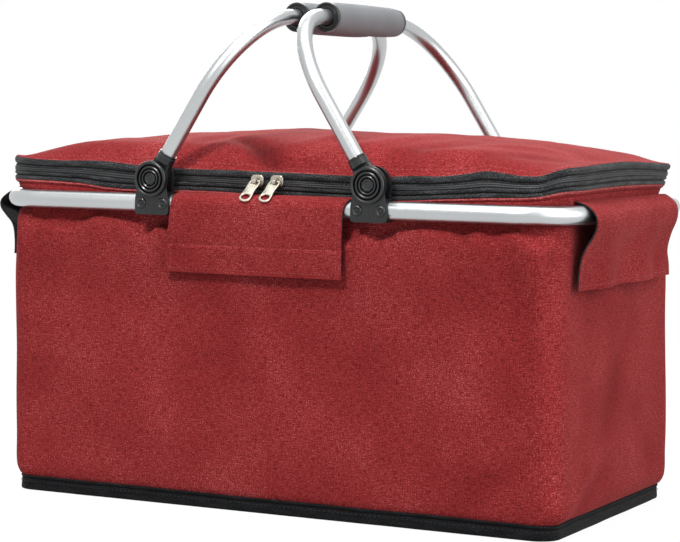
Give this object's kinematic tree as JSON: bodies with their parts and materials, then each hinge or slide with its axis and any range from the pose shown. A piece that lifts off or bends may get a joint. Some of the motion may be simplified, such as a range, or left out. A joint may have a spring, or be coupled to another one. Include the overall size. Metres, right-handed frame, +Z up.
{
  "type": "collapsible cooler basket",
  "caption": "Collapsible insulated carrying basket: padded fabric walls on an aluminium rim, zipped lid, folding arched handles and rim flaps.",
  "frame": {"origin": "middle of the underside, on the surface that the basket stands on", "axes": "+X along the length to the right, +Y to the back where the lid is sewn on, +Z up"},
  "size_m": [0.5022, 0.2874, 0.3885],
  "materials": {
    "red_cloth": "heathered red polyester weave, matt",
    "black_webbing": "black ribbed tape, matt",
    "zip_nylon": "black nylon coil, slightly shiny",
    "lining_cloth": "silvery coated lining, wipeable, a guess",
    "pale_foam": "closed-cell foam sheet",
    "dark_board": "stiff board",
    "aluminium_tube": "satin anodised",
    "black_plastic": "moulded, fine grain",
    "grey_grip": "soft-touch, matt",
    "pale_nickel": "pale nickel plate"
  },
  "bodies": {
    "base": {"base_binding": "black_webbing", "bottom_panel": "black_webbing", "base_board": "dark_board", "body_walls": "red_cloth", "wall_foam": "pale_foam", "liner": "lining_cloth"},
    "rim": {"mouth_band": "red_cloth", "zip_tape_lower": "black_webbing", "zip_coil_lower": "zip_nylon", "lid_hinge_strip": "red_cloth", "rim_tube_left": "aluminium_tube", "rim_tube_right": "aluminium_tube", "rim_joiner_front": "aluminium_tube", "rim_joiner_back": "aluminium_tube", "hinge_block_front_left": "black_plastic", "hinge_block_front_right": "black_plastic", "hinge_block_back_left": "black_plastic", "hinge_block_back_right": "black_plastic", "pivot_pin_front_left": "black_plastic", "pivot_pin_front_right": "black_plastic", "pivot_pin_back_left": "black_plastic", "pivot_pin_back_right": "black_plastic", "block_rivet_front_left_outer": "black_plastic", "block_rivet_front_left_inner": "black_plastic", "block_rivet_front_right_outer": "black_plastic", "block_rivet_front_right_inner": "black_plastic", "block_rivet_back_left_outer": "black_plastic", "block_rivet_back_left_inner": "black_plastic", "block_rivet_back_right_outer": "black_plastic", "block_rivet_back_right_inner": "black_plastic", "flap_sleeve_front": "red_cloth", "flap_sleeve_back": "red_cloth", "flap_sleeve_left": "red_cloth", "flap_sleeve_right": "red_cloth"},
    "lid": {"lid_cover": "red_cloth", "lid_foam": "pale_foam", "lid_liner": "lining_cloth", "zip_tape_upper": "black_webbing", "zip_coil_upper": "zip_nylon"},
    "handle_left": {"handle_tube_left": "aluminium_tube", "grip_left": "grey_grip", "leg_end_front_left": "black_plastic", "leg_end_back_left": "black_plastic", "grip_ring_front_left": "black_plastic", "grip_ring_back_left": "black_plastic"},
    "handle_right": {"handle_tube_right": "aluminium_tube", "grip_right": "grey_grip", "leg_end_front_right": "black_plastic", "leg_end_back_right": "black_plastic", "grip_ring_front_right": "black_plastic", "grip_ring_back_right": "black_plastic"},
    "slider_left": {"zip_slider_left": "pale_nickel"},
    "pull_left": {"zip_pull_left": "pale_nickel"},
    "slider_right": {"zip_slider_right": "pale_nickel"},
    "pull_right": {"zip_pull_right": "pale_nickel"},
    "tab_front": {"flap_tab_front": "red_cloth"},
    "tab_back": {"flap_tab_back": "red_cloth"},
    "tab_left": {"flap_tab_left": "red_cloth"},
    "tab_right": {"flap_tab_right": "red_cloth"}
  },
  "joints": [
    {"name": "collapse", "type": "slide", "parent": "base", "child": "rim", "axis": [0, 0, -1], "range_m": [0, 0.16], "deforming": ["body_walls", "wall_foam", "liner"]},
    {"name": "handle_left_fold", "type": "hinge", "parent": "rim", "child": "handle_left", "pos_m": [-0.092, 0, 0.252], "axis": [0, 1, 0], "range_deg": [-106, 0]},
    {"name": "handle_right_fold", "type": "hinge", "parent": "rim", "child": "handle_right", "pos_m": [0.092, 0, 0.252], "axis": [0, -1, 0], "range_deg": [-106, 0]},
    {"name": "lid_open", "type": "hinge", "parent": "rim", "child": "lid", "pos_m": [0, 0.1222, 0.26265], "axis": [-1, 0, 0], "range_deg": [0, 22]},
    {"name": "zip_left_slide", "type": "slide", "parent": "rim", "child": "slider_left", "axis": [-1, 0, 0], "range_m": [0, 0.057]},
    {"name": "zip_right_slide", "type": "slide", "parent": "rim", "child": "slider_right", "axis": [1, 0, 0], "range_m": [0, 0.062]},
    {"name": "pull_left_lift", "type": "hinge", "parent": "slider_left", "child": "pull_left", "pos_m": [-0.0103, -0.1267, 0.25155], "axis": [-1, 0, 0], "range_deg": [0, 100]},
    {"name": "pull_right_lift", "type": "hinge", "parent": "slider_right", "child": "pull_right", "pos_m": [0.0051, -0.1267, 0.25155], "axis": [-1, 0, 0], "range_deg": [0, 100]},
    {"name": "tab_front_lift", "type": "hinge", "parent": "rim", "child": "tab_front", "pos_m": [0, -0.1389, 0.2284], "axis": [-1, 0, 0], "range_deg": [0, 100]},
    {"name": "tab_back_lift", "type": "hinge", "parent": "rim", "child": "tab_back", "pos_m": [0, 0.1389, 0.2284], "axis": [1, 0, 0], "range_deg": [0, 100]},
    {"name": "tab_left_lift", "type": "hinge", "parent": "rim", "child": "tab_left", "pos_m": [-0.2504, 0, 0.2284], "axis": [0, 1, 0], "range_deg": [0, 100]},
    {"name": "tab_right_lift", "type": "hinge", "parent": "rim", "child": "tab_right", "pos_m": [0.2504, 0, 0.2284], "axis": [0, -1, 0], "range_deg": [0, 100]}
  ]
}
